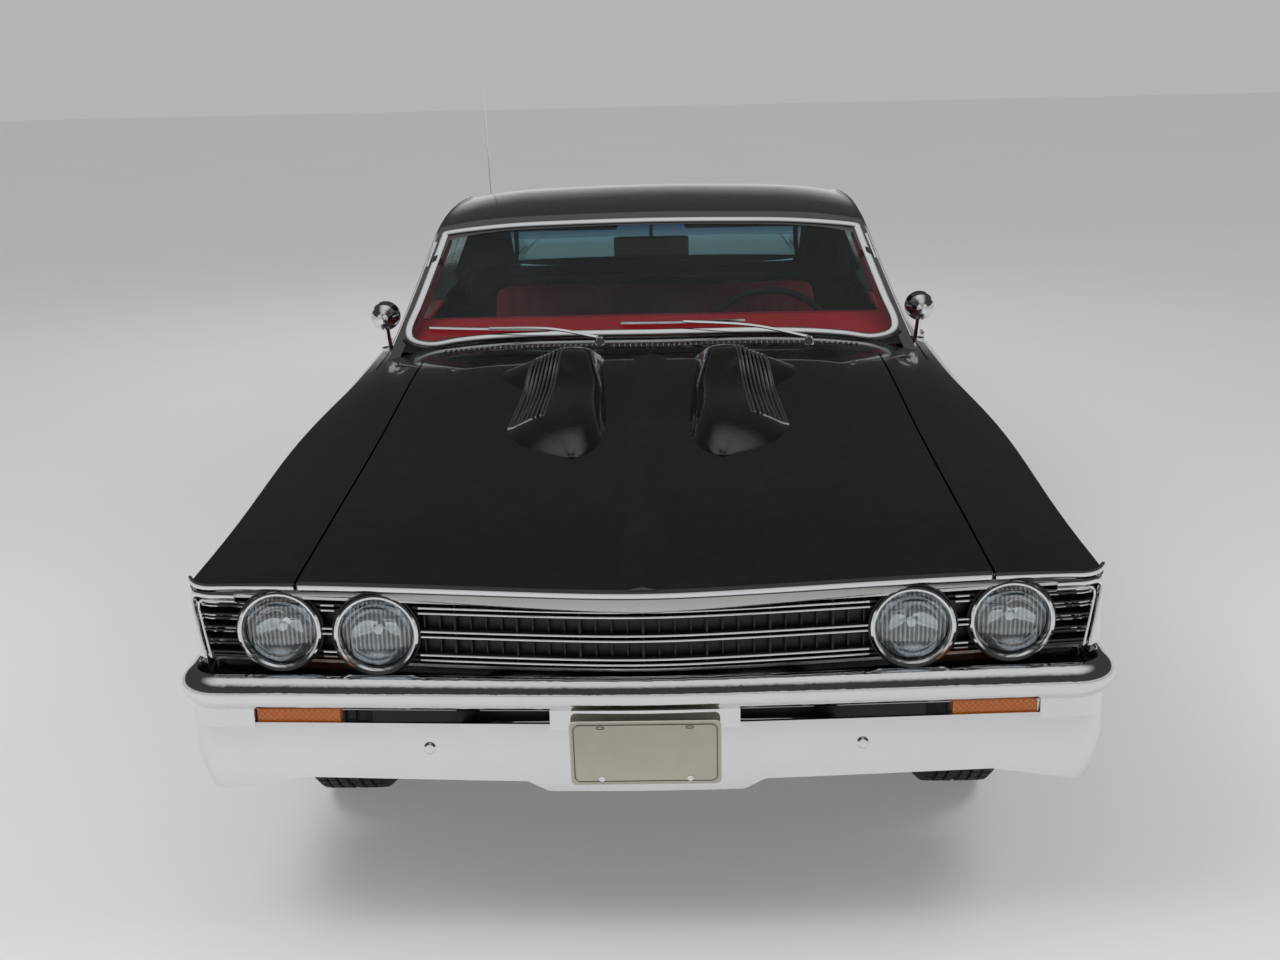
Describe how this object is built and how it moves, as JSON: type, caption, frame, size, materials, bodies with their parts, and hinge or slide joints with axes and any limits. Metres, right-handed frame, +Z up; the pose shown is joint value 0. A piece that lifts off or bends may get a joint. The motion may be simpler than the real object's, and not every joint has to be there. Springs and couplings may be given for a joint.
{
  "type": "two-door hardtop muscle car",
  "caption": "Two-door hardtop muscle car, gloss black with chrome bumpers, round headlamps, a bar grille and twin hood blisters; wheels, steering, doors, hood and trunk lid move.",
  "frame": {"origin": "on the ground under the middle of the car", "axes": "+Z up, -Y towards the nose, +X towards the driver's side (the car's left)"},
  "size_m": [1.921, 5.0014, 1.6261],
  "materials": {
    "black_paint": "gloss black enamel",
    "chrome": "bright chrome plate",
    "stainless": "satin stainless trim",
    "glass": "clear laminated glass",
    "lamp_glass": "fluted lamp glass",
    "amber": "amber lamp lens",
    "red_lens": "red lamp lens",
    "chassis_black": "satin black frame paint",
    "cast": "cast iron, oily",
    "engine_paint": "orange engine enamel",
    "steel": "aluminised steel",
    "seat_vinyl": "maroon vinyl, sewn",
    "dash_red": "maroon padded dash",
    "black_plastic": "black plastic",
    "tyre": "black tyre rubber",
    "wheel_steel": "silver wheel with chrome face"
  },
  "bodies": {
    "chassis": {"body_shell": "black_paint", "floor_pan": "chassis_black", "fender_left": "black_paint", "fender_right": "black_paint", "windshield": "glass", "rear_window": "glass", "quarter_windows": "glass", "grille_surround": "stainless", "grille": "stainless", "headlamps": "lamp_glass", "front_bumper": "chrome", "parking_lamps": "amber", "rear_bumper": "chrome", "tail_lamps": "red_lens", "frame_rails": "chassis_black", "core_support": "chassis_black", "engine": "engine_paint", "rear_axle": "cast", "front_suspension": "chassis_black", "exhaust": "steel", "fuel_tank": "steel", "dash": "dash_red", "front_seats": "seat_vinyl", "rear_seat": "seat_vinyl", "parcel_shelf": "black_plastic", "inside_mirror": "chrome", "wipers": "stainless", "antenna": "chrome"},
    "door_left": {"door_left": "black_paint", "door_glass_left": "glass", "mirror_left": "chrome"},
    "door_right": {"door_right": "black_paint", "door_glass_right": "glass", "mirror_right": "chrome"},
    "hood": {"hood": "black_paint"},
    "decklid": {"decklid": "black_paint"},
    "steering_wheel": {"steering_wheel": "black_plastic"},
    "steer_left": {"knuckle_left": "cast"},
    "steer_right": {"knuckle_right": "cast"},
    "wheel_front_left": {"wheel_front_left": "wheel_steel", "tyre_front_left": "tyre"},
    "wheel_front_right": {"wheel_front_right": "wheel_steel", "tyre_front_right": "tyre"},
    "wheel_rear_left": {"wheel_rear_left": "wheel_steel", "tyre_rear_left": "tyre"},
    "wheel_rear_right": {"wheel_rear_right": "wheel_steel", "tyre_rear_right": "tyre"}
  },
  "joints": [
    {"name": "door_left_hinge", "type": "hinge", "parent": "chassis", "child": "door_left", "pos_m": [0.9495, -0.9055, 0.6], "axis": [0, 0, -1], "range_deg": [0, 65]},
    {"name": "door_right_hinge", "type": "hinge", "parent": "chassis", "child": "door_right", "pos_m": [-0.9495, -0.9055, 0.6], "axis": [0, 0, 1], "range_deg": [0, 65]},
    {"name": "hood_hinge", "type": "hinge", "parent": "chassis", "child": "hood", "pos_m": [0, -0.95, 0.96], "axis": [-1, 0, 0], "range_deg": [0, 45]},
    {"name": "decklid_hinge", "type": "hinge", "parent": "chassis", "child": "decklid", "pos_m": [0, 1.209, 0.98], "axis": [1, 0, 0], "range_deg": [0, 65]},
    {"name": "steer_left", "type": "hinge", "parent": "chassis", "child": "steer_left", "pos_m": [0.632, -1.638, 0.335], "axis": [0, 0, 1], "range_deg": [-33, 33]},
    {"name": "steer_right", "type": "hinge", "parent": "chassis", "child": "steer_right", "pos_m": [-0.632, -1.638, 0.335], "axis": [0, 0, 1], "range_deg": [-33, 33]},
    {"name": "steering_wheel_turn", "type": "hinge", "parent": "chassis", "child": "steering_wheel", "pos_m": [0.365, -0.345, 0.875], "axis": [0, 0.9063, 0.4226], "range_deg": [-528, 528]},
    {"name": "wheel_front_left_roll", "type": "hinge", "parent": "steer_left", "child": "wheel_front_left", "pos_m": [0.7365, -1.638, 0.335], "axis": [1, 0, 0], "continuous": true},
    {"name": "wheel_front_right_roll", "type": "hinge", "parent": "steer_right", "child": "wheel_front_right", "pos_m": [-0.7365, -1.638, 0.335], "axis": [1, 0, 0], "continuous": true},
    {"name": "wheel_rear_left_roll", "type": "hinge", "parent": "chassis", "child": "wheel_rear_left", "pos_m": [0.7365, 1.283, 0.335], "axis": [1, 0, 0], "continuous": true},
    {"name": "wheel_rear_right_roll", "type": "hinge", "parent": "chassis", "child": "wheel_rear_right", "pos_m": [-0.7365, 1.283, 0.335], "axis": [1, 0, 0], "continuous": true}
  ],
  "couplings": [
    {"joint": "steer_right", "follows": "steer_left", "ratio": 1},
    {"joint": "steering_wheel_turn", "follows": "steer_left", "ratio": 16}
  ]
}
